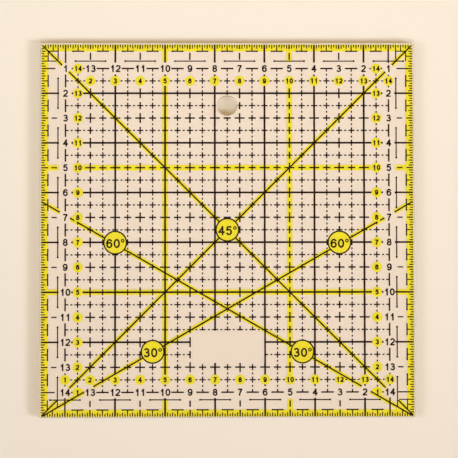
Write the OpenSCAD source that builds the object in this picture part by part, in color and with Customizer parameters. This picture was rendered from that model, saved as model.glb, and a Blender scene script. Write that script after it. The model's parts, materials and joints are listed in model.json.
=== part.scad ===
// Square quilting ruler: a clear acrylic plate, printed on its underside in yellow and black.
// Plan coordinates: u runs right from the left edge, v runs down from the top edge.

/* [Plate] */
// Length of each edge of the square plate
side = 150; // [130:10:200]
// Thickness of the acrylic sheet
plate_t = 3; // [2:0.5:6]
// Radius of the four corners in plan
corner_r = 0.6; // [0.2:0.1:3]
// Diameter of the hanging hole
hole_d = 8; // [5:0.5:9]
// Distance from the top edge to the centre of the hanging hole
hole_from_top = 25.2; // [23:0.1:27]

/* [Yellow ink] */
// Thickness of one film of ink
ink_t = 0.03; // [0.02:0.01:0.1]
// How far the print stays inside the plate's edges
print_margin = 0.3; // [0.1:0.1:0.6]
// Depth of the yellow band round the plate, measured from the edge
edge_band = 3.1; // [2.5:0.1:4]
// Width of the yellow bands behind the 5 cm and 10 cm lines
band_w = 2.3; // [1.5:0.1:3]
// Width of the yellow bands behind the angle lines
angle_band_w = 2; // [1.5:0.1:3]
// Diameter of the yellow dots behind the inner numbers
dot_d = 4.1; // [3:0.1:4.6]
// Outer diameter of the round angle badges
badge_d = 9.6; // [8:0.1:9.8]

/* [Black ink] */
// Width of the solid centimetre lines
solid_w = 0.75; // [0.2:0.05:0.9]
// Width of the dashed centimetre lines
dashed_w = 0.6; // [0.2:0.02:0.7]
// Width of the dotted half-centimetre lines
dotted_w = 0.52; // [0.2:0.02:0.7]
// Width of the angle lines
angle_w = 0.6; // [0.2:0.02:0.7]
// Width of the graduation ticks
tick_w = 0.46; // [0.2:0.02:0.5]
// Width of the short bars that join the millimetre ticks
short_bar_w = 0.52; // [0.2:0.02:0.6]
// Width of the long bars and of the squares in the corners
bar_w = 0.44; // [0.2:0.02:0.5]
// Width of the rings round the angle badges
ring_w = 0.56; // [0.2:0.02:0.7]

/* [Numbers] */
// Height of the black outer numbers
outer_h = 2.9; // [2.2:0.1:3.2]
// Stroke width of the black outer numbers
outer_stroke = 0.58; // [0.2:0.02:0.62]
// Height of the inner numbers on their yellow dots
inner_h = 2.1; // [1.8:0.1:2.4]
// Stroke width of the inner numbers
inner_stroke = 0.52; // [0.2:0.02:0.54]
// Height of the numbers in the angle badges
badge_h = 3.7; // [2.6:0.1:3.8]
// Stroke width of the numbers in the angle badges
badge_stroke = 0.68; // [0.3:0.02:0.7]

/* [Hidden] */

cm = 10;
half = side / 2;
cells = side / cm;            // centimetres along one edge
last = cells - 1;             // number of the last centimetre line
yellow = "#f7dd14";
black = "#241a10";
clear_acrylic = [0.9, 0.93, 0.92, 0.35];
eps = 0.5;                    // overrun of a cutting solid past the film that it cuts
round_fn = 48;

// Names of the four sides
TOP = 0;
RIGHT = 1;
BOTTOM = 2;
LEFT = 3;

// Rows of numbers, by their distance from the edge
outer_row = cm;
inner_row = 1.5 * cm;

// Outside width of a digit, and pitch of two digits, as shares of their height
digit_share = 0.7;
digit_pitch = 0.78;
badge_pitch = 0.81;

// The grid proper runs between the two inner rows of numbers
grid_in = inner_row + 2;
bar_3 = 3;                    // depth of the short bars that join the millimetre ticks
bar_7 = 7;                    // depth of the long bars that join the centimetre lines
dot_3 = short_bar_w + 0.16;         // diameter of the round ends of the short bars
dot_7 = bar_w + 0.35;         // diameter of the round ends of the long bars
slope = 30;                   // angle of the slanted lines to the bottom edge

// Badges: [u, v, degrees printed in them]
badge_60_in = 30;
badge_30_in = 45;
badge_30_v = side - badge_30_in * tan(slope) - 0.2;
badge_60_v = side - (side - badge_60_in) * tan(slope) - 0.6;
badges = [
    [half, half, 45],
    [badge_60_in, badge_60_v, 60], [side - badge_60_in, badge_60_v, 60],
    [badge_30_in, badge_30_v, 30], [side - badge_30_in, badge_30_v, 30],
];

// Unprinted window above the bottom row of numbers
window_w = 29.4;
window_from_bottom = 21.7;
window_h = 12.9;

// ---------- placing ----------

// Children move to a point given in plan coordinates
module at(u, v) translate([u - half, half - v, 0]) children();

// Children are drawn with their run along +X from a corner and their depth along -Y
module on_side(which) {
    if (which == TOP) at(0, 0) children();
    if (which == BOTTOM) mirror([0, 1, 0]) at(0, 0) children();
    if (which == LEFT) at(0, 0) mirror([1, 1, 0]) children();
    if (which == RIGHT) mirror([1, 0, 0]) at(0, 0) mirror([1, 1, 0]) children();
}

// The yellow film lies lowest, the black film lies between it and the plate
module yellow_film() color(yellow) linear_extrude(ink_t) children();
module black_film() color(black) translate([0, 0, ink_t]) linear_extrude(ink_t) children();
module black_solid() color(black) translate([0, 0, ink_t]) children();

// Takes the badges out of whatever crosses them
module clear_of_badges(d) {
    difference() {
        children();
        for (b = badges)
            at(b[0], b[1]) translate([0, 0, -eps]) cylinder(d = d, h = 2 * ink_t + 2 * eps, $fn = round_fn);
    }
}

// Takes the hanging hole and the unprinted window out of the grid
module clear_of_hole_and_window() {
    difference() {
        children();
        at(half, hole_from_top) translate([0, 0, -eps])
            cylinder(d = hole_d + 0.9, h = 2 * ink_t + 2 * eps, $fn = round_fn);
        at(half, side - window_from_bottom - window_h / 2) translate([0, 0, ink_t])
            cube([window_w, window_h, 2 * ink_t + 2 * eps], center = true);
    }
}

// ---------- strokes, drawn flat ----------

// A stroke along the run of a side, from s0 to s1 at the given depth
module run(s0, s1, depth, w) translate([s0, -depth - w / 2]) square([s1 - s0, w]);

// A stroke across a side, at s along it, from one depth to another
module cross(s, d0, d1, w) translate([s - w / 2, -d1]) square([w, d1 - d0]);

// A stroke between two points in plan coordinates
module line(u0, v0, u1, v1, w) {
    length = norm([u1 - u0, v1 - v0]);
    at(u0, v0) rotate(atan2(v0 - v1, u1 - u0)) translate([0, -w / 2]) square([length, w]);
}

// A dash centred on a point: along u when flat is true, along v otherwise
module dash(u, v, length, w, flat) at(u, v) square(flat ? [length, w] : [w, length], center = true);

// ---------- numbers ----------

// One straight stroke of a digit, with square ends
module stroke(a, b, w) {
    length = norm(b - a);
    translate([a[0], a[1], 0]) rotate(atan2(b[1] - a[1], b[0] - a[0]))
        translate([0, -w / 2, 0]) cube([length, w, ink_t]);
}

// One round stroke of a digit: a ring sector about c
module bow(c, r, from, to, w) {
    translate([c[0], c[1], 0]) rotate(from) rotate_extrude(angle = to - from, $fn = round_fn)
        translate([r - w / 2, 0]) square([w, ink_t]);
}

// The right half of a lobe of radius r, with its flat runs back to x = -reach
module right_lobe(c, r, x, reach, w) {
    bow([x, c], r, -90, 90, w);
    stroke([-reach, c + r], [x, c + r], w);
    stroke([-reach, c - r], [x, c - r], w);
}

// A digit of height h and stroke w, centred on the origin
module digit(n, h, w) {
    b = (h - w) / 2;              // half height between stroke centres
    a = digit_share * h / 2 - w / 2;    // half width between stroke centres
    r = b / 2;                    // radius of the two stacked lobes
    x = a - r;                    // where a lobe's round end starts
    if (n == 0) {
        bow([0, b - a], a, 0, 180, w);
        bow([0, a - b], a, 180, 360, w);
        stroke([a, a - b], [a, b - a], w);
        stroke([-a, a - b], [-a, b - a], w);
    }
    if (n == 1) {
        stroke([a * 0.3, -h / 2], [a * 0.3, h / 2], w);
        stroke([-a * 0.75, b - a], [a * 0.3, b], w);
    }
    if (n == 2) {
        bow([0, b - a], a, -35, 170, w);
        stroke([a * cos(35), b - a - a * sin(35)], [-a, -b], w);
        stroke([-a - w / 2, -b], [a + w / 2, -b], w);
    }
    if (n == 3) {
        right_lobe(r, r, x, x, w);
        right_lobe(-r, r, x, x, w);
        bow([-x, r], r, 90, 165, w);
        bow([-x, -r], r, 195, 270, w);
    }
    if (n == 4) {
        stroke([a * 0.45, -h / 2], [a * 0.45, h / 2], w);
        stroke([-a, -0.25 * b], [a * 0.45, b], w);
        stroke([-a - w / 2, -0.25 * b - w / 2], [a + w / 2, -0.25 * b - w / 2], w);
    }
    if (n == 5) {
        right_lobe(-r + 0.12 * b, r * 1.12, a - r * 1.12, x, w);
        bow([-x, -r + 0.12 * b], r * 1.12, 195, 270, w);
        stroke([-a * 0.8, 0.2 * b], [-a * 0.62, b], w);
        stroke([-a * 0.8, b], [a, b], w);
    }
    if (n == 6 || n == 9) {
        rotate(n == 9 ? 180 : 0) {
            right_lobe(-r, r, x, x, w);
            bow([-x, -r], r, 90, 270, w);
            stroke([-a, -r], [-a, b - a], w);
            bow([0, b - a], a, 20, 180, w);
        }
    }
    if (n == 7) {
        stroke([-a, b], [a + w / 2, b], w);
        stroke([a, b], [-a * 0.3, -h / 2], w);
    }
    if (n == 8) {
        for (c = [-r, r]) {
            right_lobe(c, r, x, x, w);
            bow([-x, c], r, 90, 270, w);
        }
    }
}

// A whole number of one or two digits, centred on the origin
module number(n, h, w, pitch) {
    if (n < 10) digit(n, h, w);
    else {
        translate([-pitch / 2, 0, 0]) digit(floor(n / 10), h, w);
        translate([pitch / 2, 0, 0]) digit(n % 10, h, w);
    }
}

module outer_number(n, u, v) at(u, v) number(n, outer_h, outer_stroke, digit_pitch * outer_h);
module inner_number(n, u, v) at(u, v) number(n, inner_h, inner_stroke, digit_pitch * inner_h);

// Every place that has an inner number on a yellow dot, as [u, v]
inner_places = concat(
    [for (k = [2:last]) [k * cm, inner_row]],
    [for (k = [1:last]) [k * cm, side - inner_row]],
    [for (k = [1:last]) [inner_row, k * cm]],
    [for (k = [1:last]) [side - inner_row, k * cm]]
);

// ---------- the plate ----------

module rounded_square() {
    square([side - 2 * corner_r, side], center = true);
    square([side, side - 2 * corner_r], center = true);
    for (x = [-1, 1], y = [-1, 1])
        translate([x, y] * (half - corner_r)) circle(r = corner_r, $fn = round_fn);
}

module acrylic_plate() {
    color(clear_acrylic) difference() {
        translate([0, 0, 2 * ink_t]) linear_extrude(plate_t) rounded_square();
        at(half, hole_from_top) cylinder(d = hole_d, h = plate_t + 1, $fn = 96);
    }
}

// ---------- the yellow print ----------

// One straight strip along a side, which stops short of the corners by the inset
module edge_strip(which, inset) {
    yellow_film() on_side(which)
        translate([inset, -edge_band]) square([side - 2 * inset, edge_band - print_margin]);
}

// The top and bottom strips take the corners, the side strips butt against them
module yellow_edge_top() edge_strip(TOP, print_margin);
module yellow_edge_bottom() edge_strip(BOTTOM, print_margin);
module yellow_edge_left() edge_strip(LEFT, edge_band);
module yellow_edge_right() edge_strip(RIGHT, edge_band);

// Bands behind the 5 cm and 10 cm lines: through the grid, and out at the rim
module five_cm_area() {
    for (k = [5:5:last], flat = [true, false]) {
        if (flat) line(grid_in, k * cm, side - grid_in, k * cm, band_w);
        else line(k * cm, grid_in, k * cm, side - grid_in, band_w);
    }
    for (which = [TOP, RIGHT, BOTTOM, LEFT])
        on_side(which) for (k = [5:5:last]) cross(k * cm, edge_band, bar_7 + 0.3, band_w);
}

module yellow_five_cm_bands() clear_of_badges(badge_d) yellow_film() five_cm_area();

// Stretches of the two diagonals, as u along a diagonal that falls to the right
diagonal_runs = [[0.6, 8.6], [11.3, side - 11.7], [side - 6.7, side - 0.6]];

module diagonals(runs, w) {
    for (r = runs) {
        line(r[0], r[0], r[1], r[1], w);
        line(side - r[0], r[0], side - r[1], r[1], w);
    }
}

// Cuts away whatever lies in the edge band, so that two bands don't share one place
module inside_edge_band() {
    intersection() {
        children();
        translate([0, 0, ink_t]) cube([side - 2 * edge_band, side - 2 * edge_band, 4 * ink_t], center = true);
    }
}

module yellow_45_degree_bands() {
    clear_of_badges(badge_d) difference() {
        inside_edge_band() yellow_film() diagonals(diagonal_runs, angle_band_w);
        translate([0, 0, -ink_t]) linear_extrude(3 * ink_t) five_cm_area();
    }
}

// Stretches of a slanted line, as distance from the corner that it rises from, along the edge
slanted_runs = [
    [0.8, 17.7], [21.3, side - 14.6], [side - 13.6, side - 11.9], [side - 7.8, side - 0.5],
];

// The line that rises to the right from the bottom left corner, and its mirror image
module slanted(runs, w) {
    for (r = runs) {
        line(r[0], side - r[0] * tan(slope), r[1], side - r[1] * tan(slope), w);
        line(side - r[0], side - r[0] * tan(slope), side - r[1], side - r[1] * tan(slope), w);
    }
}

yellow_slanted_runs = [[0.8, 17.7], [21.3, side - 11.9], [side - 7.8, side - 0.5]];

module yellow_30_degree_bands() {
    clear_of_badges(badge_d) difference() {
        inside_edge_band() yellow_film() slanted(yellow_slanted_runs, angle_band_w);
        translate([0, 0, -ink_t]) linear_extrude(3 * ink_t) {
            five_cm_area();
            diagonals(diagonal_runs, angle_band_w);
        }
        for (p = inner_places)
            at(p[0], p[1]) translate([0, 0, -eps]) cylinder(d = dot_d, h = 2 * eps, $fn = round_fn);
    }
}

module yellow_number_dots() {
    difference() {
        yellow_film() for (p = inner_places) at(p[0], p[1]) circle(d = dot_d, $fn = round_fn);
        translate([0, 0, -ink_t]) linear_extrude(3 * ink_t) {
            five_cm_area();
            diagonals(diagonal_runs, angle_band_w);
        }
    }
}

module yellow_badge_discs() {
    yellow_film() for (b = badges) at(b[0], b[1]) circle(d = badge_d, $fn = 2 * round_fn);
}

// ---------- the black graduations ----------

// Ticks at every millimetre: short at even ones, longer at odd ones
module millimetre_ticks() {
    black_film() for (which = [TOP, RIGHT, BOTTOM, LEFT]) on_side(which)
        for (s = [2 : side - 2])
            if (s % 5 != 0) cross(s, print_margin, s % 2 == 0 ? 1.45 : 1.95, tick_w);
}

module half_cm_ticks() {
    black_film() for (which = [TOP, RIGHT, BOTTOM, LEFT]) on_side(which)
        for (k = [0 : last]) cross((k + 0.5) * cm, print_margin, bar_3 - short_bar_w / 2, tick_w);
}

// Solid ticks lie on the solid lines' centimetres, and at the first and last centimetre
module cm_ticks() {
    long_end = [7.6, 7.7, 7.7, 7.4];      // depth of the long ticks on each side
    corner_end = [7.8, 6.7, 7.8, 5.9];    // depth of the first and last tick on each side
    short_end = [2.1, 2.8, 3, 3.1];       // depth of the short ticks on each side
    dash_from = [3.6, 4.5, 4.2, 4.4];     // each short tick goes on as a dash
    dash_to = [6.5, 6.7, 6.7, 6.6];
    black_film() for (which = [TOP, RIGHT, BOTTOM, LEFT]) on_side(which) for (k = [1:last]) {
        upright = which == TOP || which == BOTTOM;
        on_solid_line = k % 2 == (upright ? 1 : 0);
        long_w = upright ? solid_w : solid_w - 0.05;
        short_w = upright ? dashed_w : dotted_w;
        if (k == 1 || k == last) cross(k * cm, print_margin, corner_end[which], short_w);
        else if (on_solid_line) cross(k * cm, print_margin, long_end[which], long_w);
        else {
            cross(k * cm, print_margin, short_end[which], short_w);
            cross(k * cm, dash_from[which], dash_to[which], short_w);
        }
    }
}

// A bar with a round dot at each end
module dotted_bar(s0, s1, depth, w, dot) {
    run(s0, s1, depth, w);
    for (s = [s0, s1]) translate([s, -depth]) circle(d = dot, $fn = 24);
}

module three_mm_bars() {
    reach = 2.1;
    black_film() for (which = [TOP, RIGHT, BOTTOM, LEFT]) on_side(which)
        for (k = [1 : last - 1]) dotted_bar((k + 0.5) * cm - reach, (k + 0.5) * cm + reach, bar_3, short_bar_w, dot_3);
}

// Long bars join two half centimetres across every second centimetre line
module seven_mm_bars() {
    reach = 6;
    black_film() {
        for (which = [TOP, RIGHT, LEFT]) on_side(which)
            for (k = [2 : 2 : last - 2]) dotted_bar(k * cm - reach, k * cm + reach, bar_7, bar_w, dot_7);
        on_side(BOTTOM)
            for (k = [1 : 2 : last - 1]) dotted_bar(k * cm - reach, k * cm + reach, bar_7, bar_w, dot_7);
        on_side(TOP) dotted_bar(last * cm - reach, last * cm + reach, bar_7, bar_w, dot_7);
        for (which = [RIGHT, LEFT]) on_side(which) {
            run(last * cm - reach, last * cm + 5.8, bar_7, bar_w);
            translate([last * cm - reach, -bar_7]) circle(d = dot_7, $fn = 24);
        }
    }
}

// Small squares in the four corners, 3 mm and 7 mm from the edges
module corner_brackets() {
    end = side - bar_3;
    black_film() {
        for (which = [TOP, LEFT]) on_side(which) {
            run(bar_3, bar_7, bar_3, bar_w);
            cross(bar_7, print_margin, bar_7 - 0.6, bar_w);
        }
        on_side(TOP) {
            run(side - bar_7, end, bar_3, bar_w);
            cross(side - bar_7, print_margin, bar_7 - 0.6, bar_w);
        }
        on_side(RIGHT) {
            run(bar_3, bar_7, bar_3, bar_w);
            run(side - bar_7, end, bar_3, bar_w);
            cross(side - bar_7, print_margin, bar_7 - 0.7, bar_w);
        }
        on_side(LEFT) run(side - bar_7, end, bar_3, bar_w);
    }
}

// ---------- the black grid ----------

module solid_cm_lines() {
    clear_of_badges(badge_d) clear_of_hole_and_window() black_film() {
        for (k = [3 : 2 : last - 1]) line(k * cm, grid_in, k * cm, side - grid_in, solid_w);
        for (k = [2 : 2 : last - 1]) line(grid_in, k * cm, side - grid_in, k * cm, solid_w);
    }
}

// Longer dashes lie on the centimetre crossings, shorter ones half way between
module dashed_cm_lines() {
    dash_on_cm = 4;
    dash_on_half = 2.9;
    clear_of_badges(badge_d) clear_of_hole_and_window() black_film() for (flat = [true, false]) {
        for (k = [flat ? 3 : 2 : 2 : last - 1], i = [4 : 2 * (last - 1)]) {
            length = i % 2 == 0 ? dash_on_cm : dash_on_half;
            along = i * cm / 2;
            if (flat) dash(along, k * cm, length, dashed_w, true);
            else dash(k * cm, along, length, dashed_w, false);
        }
    }
}

// A dash on every half-centimetre crossing and a dot half way between. Where a line
// meets a number it leaves the dash out, and at its ends it has half a dash.
module dotted_half_cm_lines() {
    dash_l = 2.5;
    dot_l = 0.8;
    clear_of_badges(badge_d) clear_of_hole_and_window() black_film() for (flat = [true, false]) {
        for (k = [1 : last - 1], i = [4 : 4 * last]) {
            across = (k + 0.5) * cm;
            along = i * cm / 4;
            number_free = flat && k == 1 && i == 4;    // no number stands at this one end
            at_number = i % 4 == 0 && (k == 1 || k == last - 1) && !number_free;
            at_end = i == 4 || i == 4 * last;
            over_badge = !flat && across == half && along == half - cm / 2;
            length = i % 2 == 0 ? dash_l : dot_l;
            if (!at_number && !at_end && !over_badge) {
                if (flat) dash(along, across, length, dotted_w, true);
                else dash(across, along, length, dotted_w, false);
            }
            if (!at_number && at_end) {
                inward = along + (i == 4 ? 1 : -1) * dash_l / 4;
                if (flat) dash(inward, across, dash_l / 2, dotted_w, true);
                else dash(across, inward, dash_l / 2, dotted_w, false);
            }
        }
    }
}

// Dashes between the outer numbers
module number_row_dashes() {
    black_film() {
        for (which = [TOP, BOTTOM]) on_side(which)
            for (k = [2 : last - 2]) run((k + 0.5) * cm - 2.5, (k + 0.5) * cm + 2.5, outer_row, dashed_w);
        on_side(LEFT)
            for (k = [1 : last - 2]) run((k + 0.5) * cm - 2.6, (k + 0.5) * cm + 2.6, outer_row, dashed_w);
        on_side(RIGHT)
            for (k = [2 : last - 2]) run((k + 0.5) * cm - 2.6, (k + 0.5) * cm + 2.6, outer_row, dashed_w);
    }
}

// Short dots that carry a solid line on between an outer and an inner number
module link_dots() {
    dot_l = 0.7;
    link = outer_row + 2.4;
    black_film() {
        for (which = [TOP, BOTTOM]) on_side(which)
            for (k = [3 : 2 : last - 1]) cross(k * cm, link, link + dot_l, solid_w);
        for (which = [LEFT, RIGHT]) on_side(which)
            for (k = [2 : 2 : last - 1]) cross(k * cm, link, link + dot_l, solid_w);
        for (which = [TOP, BOTTOM]) on_side(which) for (s = [12.4, 17, side - 17.7, side - 13.1])
            run(s, s + dot_l, outer_row, dotted_w);
        for (which = [LEFT, RIGHT]) on_side(which) for (s = [side - 17.7, side - 13.1])
            run(s, s + dot_l, outer_row, dotted_w);
        on_side(RIGHT) for (s = [12.4, 17]) run(s, s + dot_l, outer_row, dotted_w);
    }
}

// ---------- the black angle lines and badges ----------

module lines_45_degree() {
    clear_of_badges(badge_d) black_film() diagonals(diagonal_runs, angle_w);
}

module lines_30_degree() {
    clear_of_badges(badge_d) black_film() slanted(slanted_runs, angle_w);
}

module badge_rings() {
    black_solid() for (b = badges) at(b[0], b[1]) difference() {
        cylinder(d = badge_d, h = ink_t, $fn = 2 * round_fn);
        translate([0, 0, -eps]) cylinder(d = badge_d - 2 * ring_w, h = ink_t + 2 * eps, $fn = 2 * round_fn);
    }
}

// Two digits and a degree ring, set a little below the middle of the badge
module badge_numbers() {
    pitch = badge_pitch * badge_h;
    degree_r = 0.52;
    degree_w = 0.46;
    left = 0.86;
    down = 0.35;
    black_solid() for (b = badges) at(b[0] - left, b[1] + down) {
        number(b[2], badge_h, badge_stroke, pitch);
        bow([pitch / 2 + 2.37, badge_h / 2 - degree_r - degree_w / 2], degree_r, 0, 360, degree_w);
    }
}

// ---------- the black numbers ----------

// Outer numbers count down along the top and the bottom, up to the last centimetre
function outer_label(k) = k == 1 ? 1 : cells - k;

module outer_numbers_top() {
    black_solid() {
        for (k = [2:last]) outer_number(outer_label(k), k * cm, outer_row);
        outer_number(1, cm, outer_row);
    }
}

module outer_numbers_bottom() {
    black_solid() for (k = [2 : last - 1]) outer_number(cells - k, k * cm, side - outer_row);
}

module outer_numbers_left() black_solid() for (k = [2:last]) outer_number(k, outer_row, k * cm);
module outer_numbers_right() black_solid() for (k = [2:last]) outer_number(k, side - outer_row, k * cm);

// Inner numbers run the other way from the outer numbers beside them
module inner_numbers_top() black_solid() for (k = [2:last]) inner_number(k, k * cm, inner_row);
module inner_numbers_bottom() black_solid() for (k = [1:last]) inner_number(k, k * cm, side - inner_row);
module inner_numbers_left() black_solid() for (k = [1:last]) inner_number(cells - k, inner_row, k * cm);
module inner_numbers_right() black_solid() for (k = [1:last]) inner_number(cells - k, side - inner_row, k * cm);

acrylic_plate();
yellow_edge_top();
yellow_edge_right();
yellow_edge_bottom();
yellow_edge_left();
yellow_five_cm_bands();
yellow_45_degree_bands();
yellow_30_degree_bands();
yellow_number_dots();
yellow_badge_discs();
millimetre_ticks();
half_cm_ticks();
cm_ticks();
three_mm_bars();
seven_mm_bars();
corner_brackets();
solid_cm_lines();
dashed_cm_lines();
dotted_half_cm_lines();
number_row_dashes();
link_dots();
lines_45_degree();
lines_30_degree();
badge_rings();
badge_numbers();
outer_numbers_top();
outer_numbers_right();
outer_numbers_bottom();
outer_numbers_left();
inner_numbers_top();
inner_numbers_right();
inner_numbers_bottom();
inner_numbers_left();
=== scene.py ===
# %% [markdown]
# # A quilting ruler in clear acrylic
# The real thing is one sheet of cast acrylic, 3 mm thick, with two passes of screen print on its underside:
# yellow bands and dots, and a black centimetre grid. You look down through the sheet and see the ink from behind
# glass, so nearly everything in this lesson is about two thin films and the clear plate above them.
#
# The exact design comes first. It is loaded as a fixed frame, and every place below is worked out from it.

# %% Load the frame
import json
import math

import bpy
import numpy as np
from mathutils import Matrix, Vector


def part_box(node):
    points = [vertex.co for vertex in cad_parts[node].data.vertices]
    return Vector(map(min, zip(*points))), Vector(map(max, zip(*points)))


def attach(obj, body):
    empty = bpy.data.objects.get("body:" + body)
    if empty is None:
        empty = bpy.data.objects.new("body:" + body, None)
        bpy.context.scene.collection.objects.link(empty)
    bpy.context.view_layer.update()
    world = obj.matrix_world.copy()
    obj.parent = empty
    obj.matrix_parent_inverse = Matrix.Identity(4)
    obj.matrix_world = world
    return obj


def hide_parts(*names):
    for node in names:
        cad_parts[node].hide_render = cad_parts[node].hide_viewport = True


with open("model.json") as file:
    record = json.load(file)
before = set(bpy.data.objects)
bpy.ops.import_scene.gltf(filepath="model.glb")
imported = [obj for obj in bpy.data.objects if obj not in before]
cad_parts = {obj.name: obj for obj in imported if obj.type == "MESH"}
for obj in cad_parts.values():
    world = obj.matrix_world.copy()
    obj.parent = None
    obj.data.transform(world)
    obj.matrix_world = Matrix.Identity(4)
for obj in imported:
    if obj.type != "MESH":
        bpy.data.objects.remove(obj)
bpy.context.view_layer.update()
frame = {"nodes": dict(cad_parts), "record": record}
record = frame["record"]
nodes = frame["nodes"]

# %% [markdown]
# ## Sizes
# Blender works in metres here. The plate's box gives its side and the heights of its two faces, the hanging hole is
# stated in the record, and the two ink films' boxes say where the ink lies. The grid itself is in centimetres, with
# u running right from the left edge and v running down from the top edge, which is how a maker reads a ruler.

# %% Read the sizes
MM = 0.001
CM = 0.01
plate_low, plate_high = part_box("acrylic_plate")
side = plate_high.x - plate_low.x
half = side / 2
cells = round(side / CM)
last = cells - 1
hole = next(mount for mount in record["mounts"] if mount["name"] == "hanging_hole")
hole_centre = np.array(hole["pos_m"][:2])
hole_radius = hole["dims"]["r_mm"] * MM
black_low, black_high = (corner.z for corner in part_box("solid_cm_lines"))
yellow_low, yellow_high = (corner.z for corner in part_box("yellow_five_cm_bands"))


def place(u, v):
    """The point that lies u from the left edge and v from the top edge of the plate."""
    return np.array([u - half, half - v])


print(f"side {side / MM:.1f} mm, {cells} cells, hole {2 * hole_radius / MM:.1f} mm across at {hole_centre}")
print(f"yellow film {yellow_low / MM:.2f} to {yellow_high / MM:.2f} mm, black film to {black_high / MM:.2f} mm")

# %% [markdown]
# ## Three small helpers
# A colour picked on a screen is an sRGB value, but a shader works in linear light, so one function turns hex values
# to linear. One function adds a node with its settings and links. One function turns numpy arrays into a mesh.

# %% Colour, node and mesh helpers


def linear(code):
    """A hex sRGB colour as linear RGBA: below 0.04045 divide by 12.92, above it ((c + 0.055) / 1.055) ** 2.4."""
    srgb = np.array([int(code[i:i + 2], 16) for i in (1, 3, 5)]) / 255
    value = np.where(srgb <= 0.04045, srgb / 12.92, ((srgb + 0.055) / 1.055) ** 2.4)
    return (*value, 1.0)


def add(tree, kind, links=None, **settings):
    """Adds a shader node. Settings name sockets or properties, and links name sockets to feed from others."""
    node = tree.nodes.new("ShaderNode" + kind)
    for name, value in settings.items():
        socket = name.replace("_", " ")
        if hasattr(node, name):
            setattr(node, name, value)
        else:
            node.inputs[socket].default_value = value
    for name, source in (links or {}).items():
        tree.links.new(source, node.inputs[name])
    return node


def new_material(name):
    """An empty material with its Material Output."""
    material = bpy.data.materials.new(name)
    material.use_nodes = True
    material.node_tree.nodes.clear()
    return material, material.node_tree, add(material.node_tree, "OutputMaterial")


def new_mesh(name, points, faces, material, normals=None, smooth=False):
    """Puts arrays of points and faces into a mesh object at the origin."""
    mesh = bpy.data.meshes.new(name)
    mesh.from_pydata(points, [], faces.tolist() if isinstance(faces, np.ndarray) else faces)
    mesh.polygons.foreach_set("use_smooth", np.full(len(mesh.polygons), smooth))
    if normals is not None:
        mesh.normals_split_custom_set_from_vertices(normals)
    mesh.materials.append(material)
    mesh.update()
    piece = bpy.data.objects.new(name, mesh)
    bpy.context.scene.collection.objects.link(piece)
    print(f"{name}: {len(mesh.vertices)} points, {len(mesh.polygons)} faces")
    return piece


def fit(piece, slot, *replaced):
    """A finished piece rides on the plate's body and takes the place of its plain nodes."""
    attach(piece, "root")
    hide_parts(*replaced)


# %% [markdown]
# ## Screen-print ink
# The print is solvent ink pushed through a fine screen onto the acrylic. It dries to a film a few hundredths of a
# millimetre thick. Two things give it away close up: the film is a little thinner and thicker in clouds a few
# millimetres across, and the screen's threads leave a faint regular grain. Noise gives the first, and two crossed
# wave textures at the thread pitch give the second. The grain is drawn twice as coarse as the real 0.1 mm so that
# it holds up in a close view.

# %% Ink material
thread_pitch = 0.2 * MM
grain_height = 0.01 * MM
cloud_size = 5 * MM
cloud_thick, cloud_thin = 0.35, 0.7   # the noise values at which the film counts as full and as thin
ink_roughness = 0.5
bonded_ior = 1.12                     # the ink is bonded to the acrylic, so its face hardly reflects


def screen_ink(name, code, thin_code):
    """Ink whose colour drifts between a full and a thin film, with a woven grain in its height."""
    material, tree, output = new_material(name)
    place_at = add(tree, "TexCoord").outputs["Object"]
    clouds = add(tree, "TexNoise", {"Vector": place_at}, Scale=1 / cloud_size, Detail=3.0, Roughness=0.6)
    spread = add(tree, "MapRange", {"Value": clouds.outputs["Fac"]}, From_Min=cloud_thick, From_Max=cloud_thin)
    # A colour mix has its two colours at inputs 6 and 7
    colour = add(tree, "Mix", {"Factor": spread.outputs["Result"]}, data_type="RGBA")
    colour.inputs[6].default_value = linear(code)
    colour.inputs[7].default_value = linear(thin_code)
    # A wave texture makes 20 / (2 pi) bands per unit of scale
    wave_scale = 2 * math.pi / 20 / thread_pitch
    across = add(tree, "TexWave", {"Vector": place_at}, bands_direction="X", Scale=wave_scale)
    along = add(tree, "TexWave", {"Vector": place_at}, bands_direction="Y", Scale=wave_scale)
    weave = add(tree, "Math", operation="MULTIPLY")
    tree.links.new(across.outputs["Fac"], weave.inputs[0])
    tree.links.new(along.outputs["Fac"], weave.inputs[1])
    bump = add(tree, "Bump", {"Height": weave.outputs[0]}, Strength=0.15, Distance=grain_height)
    shader = add(tree, "BsdfPrincipled", {"Base Color": colour.outputs[2], "Normal": bump.outputs["Normal"]},
                 Roughness=ink_roughness, IOR=bonded_ior)
    tree.links.new(shader.outputs[0], output.inputs["Surface"])
    return material


yellow_ink = screen_ink("screen_ink_lemon_yellow", "#F4E42A", "#EEE036")
black_ink = screen_ink("screen_ink_black", "#281206", "#321A0C")
print("inks:", yellow_ink.name, black_ink.name)

# %% [markdown]
# ## Cast acrylic
# The plate is cast PMMA, a glass-clear plastic with an index of refraction of 1.49. Its faces come from the casting
# mould and are as smooth as a mirror. Its edges are cut and then polished. They are clear too, but fine marks of the
# cutter are left, so they aren't perfectly flat and scatter about a third of the light.
#
# A ray tracer treats anything made of glass as a solid that blocks a lamp, and finds the light behind it only by
# chance. So the faces let shadow rays through with a slight tint, which is what a 3 mm sheet really does.
#
# A wall is different on its two sides. Light that falls on it from outside goes in. Light that has come down through
# the top face and meets the wall from inside is thrown back by total reflection, so almost none gets out, and the
# table beside the plate and inside the hole lies in a soft brown shade. A shadow ray runs from the table to the
# lamp, so it meets the first kind of wall from behind and the second kind from the front.

# %% Acrylic materials
acrylic_ior = 1.49


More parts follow.
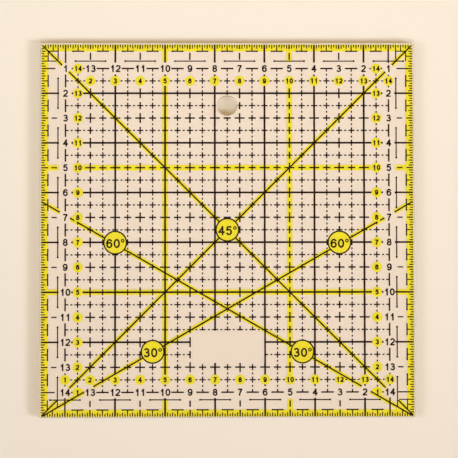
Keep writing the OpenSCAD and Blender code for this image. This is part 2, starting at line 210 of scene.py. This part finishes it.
def cast_acrylic(name, code, roughness, clear, let_in, let_out, wear_size, wear_depth):
    """PMMA in which a share of the light, clear, passes without being scattered by the surface.

    let_in and let_out tint the light that passes this surface into and out of the plate.
    """
    material, tree, output = new_material(name)
    place_at = add(tree, "TexCoord").outputs["Object"]
    wear = add(tree, "TexNoise", {"Vector": place_at}, Scale=1 / wear_size, Detail=4.0, Roughness=0.7)
    bump = add(tree, "Bump", {"Height": wear.outputs["Fac"]}, Strength=0.2, Distance=wear_depth)
    glass = add(tree, "BsdfPrincipled", {"Normal": bump.outputs["Normal"]}, Base_Color=linear(code),
                Roughness=roughness, IOR=acrylic_ior, Transmission_Weight=clear)
    behind = add(tree, "NewGeometry").outputs["Backfacing"]
    passed = add(tree, "Mix", {"Factor": behind}, data_type="RGBA")
    passed.inputs[6].default_value = linear(let_out)
    passed.inputs[7].default_value = linear(let_in)
    through = add(tree, "BsdfTransparent", {"Color": passed.outputs[2]})
    ray = add(tree, "LightPath")
    surface = glass
    for kind in ("Is Diffuse Ray", "Is Shadow Ray"):
        mix = add(tree, "MixShader", {"Fac": ray.outputs[kind]})
        tree.links.new(surface.outputs[0], mix.inputs[1])
        tree.links.new(through.outputs[0], mix.inputs[2])
        surface = mix
    tree.links.new(surface.outputs[0], output.inputs["Surface"])
    return material


polished_face = cast_acrylic("cast_acrylic_polished_face", "#FFFDFD", 0.0, 1.0, "#FFFCF9", "#FFFCF9",
                             8 * MM, 0.0002 * MM)
# The faint yellow in the edge's colour is a painted reflection of the yellow print; the edge's clear share and
# roughness are its real finish.
polished_edge = cast_acrylic("cast_acrylic_polished_edge", "#FCF8E4", 0.12, 0.65, "#FFFBF0", "#AE9A6E",
                             0.6 * MM, 0.01 * MM)
print("acrylic:", polished_face.name, polished_edge.name)

# %% [markdown]
# ## The plate
# On the bench this is a square with its corners just broken, a round hole, and edges eased by the polisher. It could
# be a box with a Boolean and a Bevel, but those leave long thin faces at the hole. Instead the whole surface is one
# closed band: a ray turns about the hole's middle, and along each ray a profile goes out along the underside, up the
# outer wall, back along the top and down the wall of the hole. The ring that this sweeps has no pole and no seam.

# %% The plate as rays times a profile
corner_radius = 0.6 * MM
ease = 0.12 * MM          # radius of the eased edges
ink_gap = 0.004 * MM      # keeps the plate's underside off the ink, so that the two don't share a plane
ease_steps = 5
corner_steps = 8
even_rays = 240


def reach(angles, half_side, radius, centre):
    """Distance along each ray from centre to a square with round corners, centred on the origin.

    The ray leaves the full square where it first meets one of the four sides. If that point lies past the straight
    part of a side, the ray meets the corner's circle instead, which is the far root of |c + t d - k| = radius.
    """
    way = np.stack([np.cos(angles), np.sin(angles)], 1)
    with np.errstate(divide="ignore"):
        to_side = (np.sign(way) * half_side - centre) / way
    distance = np.where(np.isfinite(to_side), to_side, np.inf).min(1)
    hit = centre + distance[:, None] * way
    knee = half_side - radius
    in_corner = (np.abs(hit) > knee).all(1)
    middle = np.sign(hit) * knee
    offset = centre - middle
    b = (offset * way).sum(1)
    c = (offset ** 2).sum(1) - radius ** 2
    root = -b + np.sqrt(np.maximum(b * b - c, 0))
    return np.where(in_corner, root, distance)


def corner_angles(centre):
    """The angles of the rays from centre that meet the points along each corner's arc."""
    knee = half - corner_radius
    turn = np.linspace(0, math.pi / 2, corner_steps)
    found = []
    for sign_x, sign_y in ((1, 1), (1, -1), (-1, -1), (-1, 1)):
        x = sign_x * (knee + corner_radius * np.cos(turn))
        y = sign_y * (knee + corner_radius * np.sin(turn))
        found.append(np.arctan2(y - centre[1], x - centre[0]))
    return np.concatenate(found)


def plate_surface(z_low, z_high):
    """Points, faces and normals of the plate, and which faces belong to the cut edges."""
    even = np.linspace(-math.pi, math.pi, even_rays, endpoint=False)
    angles = np.unique(np.round(np.concatenate([even, corner_angles(hole_centre)]), 9))
    t = np.linspace(0, math.pi / 2, ease_steps)
    inset, rise = ease * (1 - np.sin(t)), ease * (1 - np.cos(t))
    # Each row of the profile: on the outer outline or the hole, distance in from that wall, height, and normal
    outer_low = [(1, i, z_low + r, np.sin(a), -np.cos(a)) for a, i, r in zip(t, inset, rise)]
    outer_high = [(1, i, z_high - r, np.sin(a), np.cos(a)) for a, i, r in zip(t, inset, rise)][::-1]
    hole_high = [(0, i, z_high - r, -np.sin(a), np.cos(a)) for a, i, r in zip(t, inset, rise)]
    hole_low = [(0, i, z_low + r, -np.sin(a), -np.cos(a)) for a, i, r in zip(t, inset, rise)][::-1]
    profile = outer_low + outer_high + hole_high + hole_low
    way = np.stack([np.cos(angles), np.sin(angles)], 1)
    rows, row_normals = [], []
    for outer, inward, z, out, up in profile:
        if outer:
            distance = reach(angles, half - inward, corner_radius - inward, hole_centre)
            flat = hole_centre + distance[:, None] * way
            knee = half - corner_radius
            excess = flat - np.clip(flat, -knee, knee)
            sideways = excess / np.linalg.norm(excess, axis=1, keepdims=True)
        else:
            flat = hole_centre + (hole_radius + inward) * way
            sideways = way
        rows.append(np.column_stack([flat, np.full(len(angles), z)]))
        row_normals.append(np.column_stack([sideways * out, np.full(len(angles), up)]))
    points, normals = np.concatenate(rows), np.concatenate(row_normals)
    count, turns = len(profile), len(angles)
    i, j = np.meshgrid(np.arange(count), np.arange(turns), indexing="ij")
    this, up_row = i * turns, (i + 1) % count * turns
    nxt = (j + 1) % turns
    faces = np.stack([this + j, this + nxt, up_row + nxt, up_row + j], -1).reshape(-1, 4)
    flat_rows = (2 * ease_steps - 1, 4 * ease_steps - 1)   # the top face and the underside
    cut = ~np.isin(i.reshape(-1), flat_rows)
    return points, faces, normals, cut


plate_points, plate_faces, plate_normals, cut_faces = plate_surface(plate_low.z + ink_gap, plate_high.z)
plate = new_mesh("clear_plate", plate_points, plate_faces, polished_face, plate_normals, smooth=True)
plate.data.materials.append(polished_edge)
plate.data.polygons.foreach_set("material_index", cut_faces.astype(np.int32))
fit(plate, "clear_acrylic", "acrylic_plate")

# %% [markdown]
# ## Round yellow patches
# The inner numbers stand on small yellow dots and the angles on larger discs. Each is a flat turned shape: a circle
# at the top of the film, the same circle at the bottom, and a middle point on each face that closes it.

# %% Discs
dot_sides, badge_sides = 40, 96


def disc(centre, radius, z_low, z_high, sides):
    """A closed flat disc: two circles of points, each with a middle point, joined by a wall."""
    turn = np.arange(sides) * (2 * math.pi / sides)
    rim = centre + radius * np.stack([np.cos(turn), np.sin(turn)], 1)
    flat = np.concatenate([rim, rim, [centre, centre]])
    z = np.concatenate([np.full(sides, z_low), np.full(sides, z_high), [z_low, z_high]])
    i = np.arange(sides)
    n = (i + 1) % sides
    wall = np.stack([i, n, n + sides, i + sides], 1).tolist()
    lower = np.stack([n, i, np.full(sides, 2 * sides)], 1).tolist()
    upper = np.stack([i + sides, n + sides, np.full(sides, 2 * sides + 1)], 1).tolist()
    return np.column_stack([flat, z]), wall + lower + upper


def together(parts):
    """Joins many (points, faces) pairs into one, each face renumbered past the points before it."""
    starts = np.cumsum([0] + [len(points) for points, _ in parts])
    faces = [[k + start for k in face] for (_, group), start in zip(parts, starts) for face in group]
    return np.concatenate([points for points, _ in parts]), faces


inner_row = 15 * MM
dot_radius = 2.05 * MM
dot_places = (
    [place(k * CM, inner_row) for k in range(2, cells)]
    + [place(k * CM, side - inner_row) for k in range(1, cells)]
    + [place(inner_row, k * CM) for k in range(1, cells)]
    + [place(side - inner_row, k * CM) for k in range(1, cells)]
)
dots = [disc(at, dot_radius, yellow_low, yellow_high, dot_sides) for at in dot_places]
fit(new_mesh("number_dots", *together(dots), yellow_ink), "yellow_ink", "yellow_number_dots")

# %% [markdown]
# ## The five angle badges
# One badge sits on the crossing of the two 45 degree lines, in the middle of the plate. The others sit on the lines
# that rise at 30 degrees from the bottom corners: low down they are marked 30, and further up 60, which is the angle
# that the same line makes with the side of the plate. The printer set both pairs a little above their line.

# %% Badge places and discs
slope = math.tan(math.radians(30))
badge_radius = 4.8 * MM
badge_60_in, badge_30_in = 30 * MM, 45 * MM
badge_60_rise, badge_30_rise = 0.6 * MM, 0.2 * MM
badge_60_v = side - (side - badge_60_in) * slope - badge_60_rise
badge_30_v = side - badge_30_in * slope - badge_30_rise
badges = [
    (45, place(half, half)),
    (60, place(badge_60_in, badge_60_v)),
    (60, place(side - badge_60_in, badge_60_v)),
    (30, place(badge_30_in, badge_30_v)),
    (30, place(side - badge_30_in, badge_30_v)),
]
discs = [disc(at, badge_radius, yellow_low, yellow_high, badge_sides) for _, at in badges]
fit(new_mesh("badge_discs", *together(discs), yellow_ink), "yellow_ink", "yellow_badge_discs")

# %% [markdown]
# ## Lines of ink along a path
# A ring, and each stroke of a digit, is the same thing: a flat ribbon of ink that follows a centre line. The ribbon's
# section is a rectangle as wide as the stroke and as thick as the film. It is carried along the centre line, always
# square to it, and closed at both ends, or joined to its own start on a ring.

# %% Carry a section along a path


def ribbon(path, width, closed=False):
    """A rectangular section carried along a flat path.

    At each point the way along the path is the difference of its neighbours. The section's corners lie half a width
    to each side of it, at the film's lower and upper face, and quads join each section to the next.
    """
    if closed:
        way = np.roll(path, -1, 0) - np.roll(path, 1, 0)
    else:
        way = np.gradient(path, axis=0)
    way /= np.linalg.norm(way, axis=1, keepdims=True)
    aside = np.stack([-way[:, 1], way[:, 0]], 1) * width / 2
    count = len(path)
    low, high = np.full(count, black_low), np.full(count, black_high)
    left, right = path + aside, path - aside
    points = np.concatenate([
        np.column_stack([left, low]), np.column_stack([right, low]),
        np.column_stack([right, high]), np.column_stack([left, high])])
    i = np.arange(count if closed else count - 1)
    n = (i + 1) % count
    faces = []
    for corner in range(4):
        a, b = corner * count, (corner + 1) % 4 * count
        faces += np.stack([a + i, a + n, b + n, b + i], 1).tolist()
    if not closed:
        end = count - 1
        faces += [[3 * count, 2 * count, count, 0], [end, count + end, 2 * count + end, 3 * count + end]]
    return points, faces


def arc(centre, radius_x, radius_y, start, stop, steps):
    """Points along an ellipse, centre plus (radius_x cos, radius_y sin), from one angle in degrees to another."""
    turn = np.radians(np.linspace(start, stop, steps))
    return np.stack([centre[0] + radius_x * np.cos(turn), centre[1] + radius_y * np.sin(turn)], 1)


def curve(a, b, c, d, steps=9):
    """Points along a cubic Bezier curve from a to d, which leaves towards b and arrives from c."""
    t = np.linspace(0, 1, steps)[:, None]
    a, b, c, d = (np.array(p, float) for p in (a, b, c, d))
    return a * (1 - t) ** 3 + 3 * b * t * (1 - t) ** 2 + 3 * c * t * t * (1 - t) + d * t ** 3


ring_width = 0.56 * MM
ring_radius = badge_radius - ring_width / 2


def ring(centre, radius, width, sides):
    """A closed round ribbon: the last point of a full turn repeats the first, so it is left out."""
    return ribbon(arc(centre, radius, radius, 0, 360, sides + 1)[:-1], width, closed=True)


rings = [ring(at, ring_radius, ring_width, badge_sides) for _, at in badges]
fit(new_mesh("badge_rings_print", *together(rings), black_ink), "black_ink", "badge_rings")

# %% [markdown]
# ## Digits
# The numbers are in a plain grotesque, with the even stroke of a sign painter's flat pen. So each digit is drawn as
# the pen would: one to three strokes made of straight runs and parts of ellipses. A digit is drawn in a box that
# runs from -1 to 1 both ways, and the box is then given its real width and height.

# %% Strokes of each digit


def line(a, b):
    """A straight run from a to b."""
    return np.array([a, b], float)


def digit_strokes(n, over_x, over_y):
    """Centre lines of a digit in a box from -1 to 1. over_x and over_y carry a square end to the digit's outside."""
    if n == 6 or n == 9:
        turned = 1 if n == 6 else -1
        bowl = arc((0.02, -0.38), 0.95, 0.62, 0, 360, 25)
        back = arc((0.08, 0.0), 1.05, 1.0, 32, 205, 19)
        return [turned * bowl, turned * back]
    return {
        0: [arc((0, 0), 0.98, 1.0, 90, 450, 29)],
        1: [line((0.28, 1 + over_y), (0.28, -1 - over_y)),
            curve((0.28, 0.98), (0.05, 0.68), (-0.25, 0.5), (-0.72, 0.38))],
        2: [arc((0, 0.44), 0.94, 0.56, 172, -32, 15),
            curve((0.797, 0.143), (0.5, -0.25), (-0.7, -0.55), (-0.93, -1.0)),
            line((-0.98 - over_x, -1), (0.96 + over_x / 2, -1))],
        3: [arc((-0.05, 0.52), 0.80, 0.48, 163, -90, 17), arc((-0.02, -0.47), 0.96, 0.53, 90, -165, 19),
            line((-0.36, 0.05), (0.0, 0.05))],
        4: [line((0.44, 1 + over_y), (0.44, -1 - over_y)), line((-0.98, -0.4), (0.5, 1.0)),
            line((-0.98 - over_x, -0.4), (1.0 + over_x, -0.4))],
        5: [line((-0.68, 1), (0.86 + over_x / 2, 1)), line((-0.63, 1), (-0.86, -0.02)),
            arc((-0.02, -0.34), 0.96, 0.66, 146, -163, 23)],
        7: [line((-0.98 - over_x / 2, 1), (0.98 + over_x / 2, 1)),
            curve((0.98, 1.0), (0.35, 0.45), (-0.3, -0.35), (-0.34, -1 - over_y))],
        8: [arc((0, 0.52), 0.78, 0.48, 0, 360, 21), arc((0, -0.47), 0.95, 0.53, 0, 360, 25)],
    }[n]


# %% [markdown]
# A whole number is its digits side by side. The pitch from one digit to the next is a share of their height, as in
# type. Closed shapes, such as the bowl of a 6, come back to their own start, and the ribbon is joined there.

# %% Numbers
digit_pitch = 0.78        # from one digit to the next, as a share of the height
digit_width = 0.70        # outside width of a digit, as a share of the height


def joined_ends(path):
    """Whether a centre line comes back to its own start."""
    return np.allclose(path[0], path[-1])


def number(n, at, height, stroke, pitch=digit_pitch):
    """Ribbons for a whole number centred on a point: each digit's box is scaled to the stroke's centre lines."""
    half_x, half_y = (digit_width * height - stroke) / 2, (height - stroke) / 2
    over_x, over_y = stroke / 2 / half_x, stroke / 2 / half_y
    text = str(n)
    parts = []
    for k, letter in enumerate(text):
        middle = at + np.array([(k - (len(text) - 1) / 2) * pitch * height, 0])
        for path in digit_strokes(int(letter), over_x, over_y):
            closed = joined_ends(path)
            path = middle + (path[:-1] if closed else path) * (half_x, half_y)
            parts.append(ribbon(path, stroke, closed))
    return parts


def numbers(name, labels, height, stroke, replaced):
    """One piece for a whole row of numbers, from pairs of a number and its place."""
    parts = [part for n, at in labels for part in number(n, at, height, stroke)]
    fit(new_mesh(name, *together(parts), black_ink), "black_ink", replaced)


# %% [markdown]
# ## The rows of numbers
# Every side has two rows. The outer row stands on the clear plate. The inner row stands on the yellow dots in a
# smaller, heavier cut, and counts the other way, so that the ruler can be read from either hand.

# %% Outer and inner rows
outer_row = 10 * MM
outer_height, outer_stroke = 2.9 * MM, 0.58 * MM
inner_height, inner_stroke = 2.1 * MM, 0.52 * MM

outer_top = [(cells - k, place(k * CM, outer_row)) for k in range(2, cells)] + [(1, place(CM, outer_row))]
outer_bottom = [(cells - k, place(k * CM, side - outer_row)) for k in range(2, last)]
outer_left = [(k, place(outer_row, k * CM)) for k in range(2, cells)]
outer_right = [(k, place(side - outer_row, k * CM)) for k in range(2, cells)]
inner_top = [(k, place(k * CM, inner_row)) for k in range(2, cells)]
inner_bottom = [(k, place(k * CM, side - inner_row)) for k in range(1, cells)]
inner_left = [(cells - k, place(inner_row, k * CM)) for k in range(1, cells)]
inner_right = [(cells - k, place(side - inner_row, k * CM)) for k in range(1, cells)]
for name, labels in {"top": outer_top, "right": outer_right, "bottom": outer_bottom, "left": outer_left}.items():
    numbers("outer_figures_" + name, labels, outer_height, outer_stroke, "outer_numbers_" + name)
for name, labels in {"top": inner_top, "right": inner_right, "bottom": inner_bottom, "left": inner_left}.items():
    numbers("inner_figures_" + name, labels, inner_height, inner_stroke, "inner_numbers_" + name)

# %% [markdown]
# The badges carry two digits and a small degree ring. Digits and ring together are centred, so the digits stand a
# little to the left. They also stand a little low, and the ring is level with their tops.

# %% Badge figures
badge_height, badge_stroke = 3.7 * MM, 0.68 * MM
badge_pitch = 0.81
badge_shift = np.array([-0.86, -0.35]) * MM
degree_radius, degree_stroke = 0.52 * MM, 0.46 * MM
degree_sides = 24
degree_gap = 2.37 * MM    # from the middle of the second digit to the middle of the ring
degree_shift = np.array([badge_pitch * badge_height / 2 + degree_gap,
                         badge_height / 2 - degree_radius - degree_stroke / 2])
badge_parts = []
for angle, at in badges:
    middle = at + badge_shift
    badge_parts += number(angle, middle, badge_height, badge_stroke, badge_pitch)
    badge_parts.append(ring(middle + degree_shift, degree_radius, degree_stroke, degree_sides))
fit(new_mesh("badge_figures", *together(badge_parts), black_ink), "black_ink", "badge_numbers")

# %% [markdown]
# ## Bars with round ends
# Short bars join the graduations 3 mm in from each side, and long bars join the half centimetres 7 mm in. Each ends
# in a small round dot. A bar is placed by the side it belongs to: s runs along the side, depth runs in from it.

# %% Bars
short_width, long_width = 0.52 * MM, 0.44 * MM
short_dot, long_dot = short_width / 2 + 0.08 * MM, long_width / 2 + 0.175 * MM
short_reach, long_reach = 2.1 * MM, 6 * MM
corner_reach = 5.8 * MM   # the last long bar of the left and right sides stops at the corner's bracket
short_depth, long_depth = 3 * MM, 7 * MM
bar_end_sides = 24
sides = {
    "top": lambda s, depth: place(s, depth),
    "bottom": lambda s, depth: place(s, side - depth),
    "left": lambda s, depth: place(depth, s),
    "right": lambda s, depth: place(side - depth, s),
}


def bar(which, start, stop, depth, width, dot, ends=2):
    """One bar along a side, from start to stop, with a dot on its first end or on both."""
    where = sides[which]
    path = np.array([where(start, depth), where(stop, depth)])
    return [ribbon(path, width)] + [disc(at, dot, black_low, black_high, bar_end_sides) for at in path[:ends]]


short_bars, long_bars = [], []
for which in sides:
    for k in range(1, last):
        middle = (k + 0.5) * CM
        short_bars += bar(which, middle - short_reach, middle + short_reach, short_depth, short_width, short_dot)
    # The long bars stand on even centimetres, but the bottom side's stand on odd ones
    for k in range(1, last, 2) if which == "bottom" else range(2, last - 1, 2):
        long_bars += bar(which, k * CM - long_reach, k * CM + long_reach, long_depth, long_width, long_dot)
long_bars += bar("top", last * CM - long_reach, last * CM + long_reach, long_depth, long_width, long_dot)
for which in ("left", "right"):
    start, stop = last * CM - long_reach, last * CM + corner_reach
    long_bars += bar(which, start, stop, long_depth, long_width, long_dot, ends=1)
fit(new_mesh("short_bars_print", *together(short_bars), black_ink), "black_ink", "three_mm_bars")
fit(new_mesh("long_bars_print", *together(long_bars), black_ink), "black_ink", "seven_mm_bars")

# %% [markdown]
# ## The rest of the print
# The straight ink, more than two thousand ticks, dashes and bands, already has its exact shape in the design. It
# keeps that shape and only gets the ink finish.

# %% Ink on the design's own nodes
inks = {"yellow_ink": yellow_ink, "black_ink": black_ink}
printed = [part for part in record["subparts"] if part["material_slot"] in inks]
for part in printed:
    slots = nodes[part["node"]].data.materials
    slots.clear()
    slots.append(inks[part["material_slot"]])
print("finished", len(printed), "ink nodes")

# %% [markdown]
# ## Where it lies
# A plain pale floor, a hair below the print so that ink and floor don't share a plane.

# %% Floor
floor_size = 6.0
floor_z = -0.02 * MM
floor_material, floor_tree, floor_output = new_material("plain_cream_card")
floor_shader = add(floor_tree, "BsdfPrincipled", Base_Color=linear("#F1E2CF"), Roughness=0.9, IOR=1.3)
floor_tree.links.new(floor_shader.outputs[0], floor_output.inputs["Surface"])
floor_points = [(x * floor_size / 2, y * floor_size / 2, floor_z) for x, y in ((-1, -1), (1, -1), (1, 1), (-1, 1))]
floor = new_mesh("floor", floor_points, [[0, 1, 2, 3]], floor_material)

# %% [markdown]
# ## Light
# One broad lamp high at the near side, with its beam turned to the far side, so that the floor is a little brighter
# there. A lower one at the near right lays the plate's faint shadow to the left and behind it, and a weaker one at
# the left lays a fainter shadow to the right. The rest is even light from all round.

# %% Lamps and surroundings


def softbox(name, position, size, power, aim=(0.0, 0.0), beam=180):
    """A square area lamp that faces a point on the table. beam is how far its light opens, in degrees.

    A lamp shines down its own -Z. Tipping it by atan(distance / height) about X turns the beam away from straight
    down, and the turn about Z points it at the aim.
    """
    data = bpy.data.lights.new(name, "AREA")
    data.size, data.energy, data.spread = size, power, math.radians(beam)
    lamp = bpy.data.objects.new(name, data)
    bpy.context.scene.collection.objects.link(lamp)
    lamp.location = position
    x, y, z = position[0] - aim[0], position[1] - aim[1], position[2]
    lamp.rotation_euler = (math.atan2(math.hypot(x, y), z), 0, math.atan2(y, x) + math.pi / 2)


softbox("near_softbox", (0.0, -0.35, 0.75), 0.50, 0.90, aim=(0.0, 0.42), beam=60)
softbox("right_softbox", (1.40, -0.50, 0.80), 0.50, 24.5)
softbox("left_softbox", (-1.10, -0.15, 0.75), 0.50, 7.5)
surroundings = 0.10
world = bpy.data.worlds.new("studio")
world.use_nodes = True
bpy.context.scene.world = world
backdrop = world.node_tree.nodes["Background"]
backdrop.inputs["Color"].default_value = linear("#FFFFFF")
backdrop.inputs["Strength"].default_value = surroundings
bpy.context.scene.view_settings.view_transform = "Standard"

# %% [markdown]
# ## Camera
# It looks almost straight down from 70 cm with a long lens, from a little nearer than the middle of the plate, so the
# far side is a touch smaller.

# %% Camera
camera_data = bpy.data.cameras.new("camera")
camera_data.lens = 137.0
camera_data.sensor_width = 36.0
camera_data.clip_start = 0.01
camera = bpy.data.objects.new("camera", camera_data)
bpy.context.scene.collection.objects.link(camera)
camera.location = (-8.06 * MM, -27.38 * MM, 700 * MM)
camera.rotation_euler = [math.radians(angle) for angle in (2.270, -0.710, -0.090)]
bpy.context.scene.camera = camera
print("camera", camera_data.lens, "mm at", tuple(camera.location))
